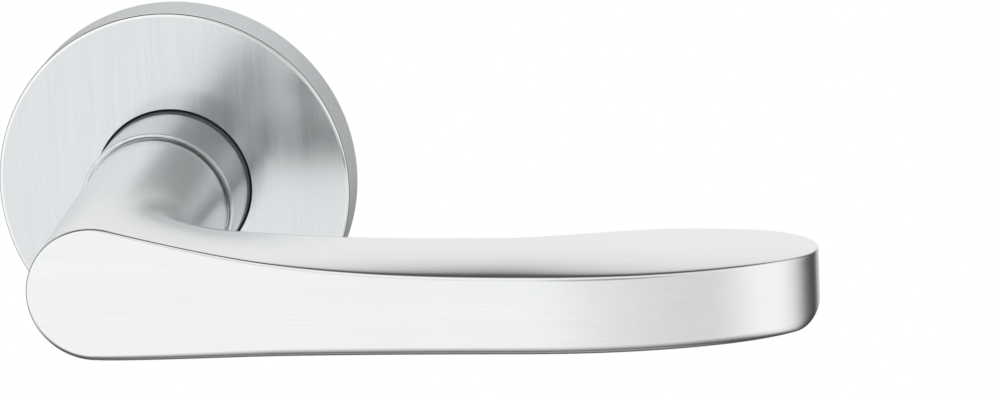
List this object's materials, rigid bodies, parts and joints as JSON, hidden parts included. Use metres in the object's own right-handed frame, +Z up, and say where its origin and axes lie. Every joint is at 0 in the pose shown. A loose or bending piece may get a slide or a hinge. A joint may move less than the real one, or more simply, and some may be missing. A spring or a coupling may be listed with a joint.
{
  "type": "door lever handle",
  "caption": "Door lever handle on a round rose: flat-fronted grip with a returned tip, bearing collar, square spindle, sprung turn and clip-on rose cover.",
  "frame": {"origin": "spindle axis where it crosses the door face", "axes": "+X along the grip to its tip, +Y along the spindle into the door, +Z up; the room side is -Y"},
  "size_m": [0.1315, 0.127, 0.055],
  "materials": {
    "satin_metal": "fine brushed satin",
    "plated_steel": "zinc plated",
    "spring_steel": "oiled dark",
    "cast_zinc": "as cast, dull",
    "black_nylon": "moulded matte"
  },
  "bodies": {
    "base": {"mounting_plate": "cast_zinc", "spring_housing": "cast_zinc", "front_bush": "black_nylon", "rear_bush": "black_nylon", "guide_collar": "satin_metal", "fixing_screw_upper": "plated_steel", "fixing_screw_lower": "plated_steel", "housing_screw_1": "plated_steel", "housing_screw_2": "plated_steel", "stop_pin_rest": "plated_steel", "stop_pin_turned": "plated_steel", "return_spring": "spring_steel", "cover_clip_left": "spring_steel", "cover_clip_right": "spring_steel"},
    "lever": {"lever_handle": "satin_metal", "spindle": "plated_steel", "grub_screw": "spring_steel", "drive_ring": "plated_steel", "thrust_washer": "plated_steel", "retaining_ring": "spring_steel"},
    "cover": {"rose_cover": "satin_metal"}
  },
  "joints": [
    {"name": "lever_turn", "type": "hinge", "parent": "base", "child": "lever", "pos_m": [0, 0, 0], "axis": [0, 1, 0], "range_deg": [0, 45], "stiffness_Nm_per_rad": 1.2, "springref_deg": -28.65},
    {"name": "cover_slide", "type": "slide", "parent": "base", "child": "cover", "axis": [0, -1, 0], "range_m": [0, 0.028]}
  ]
}
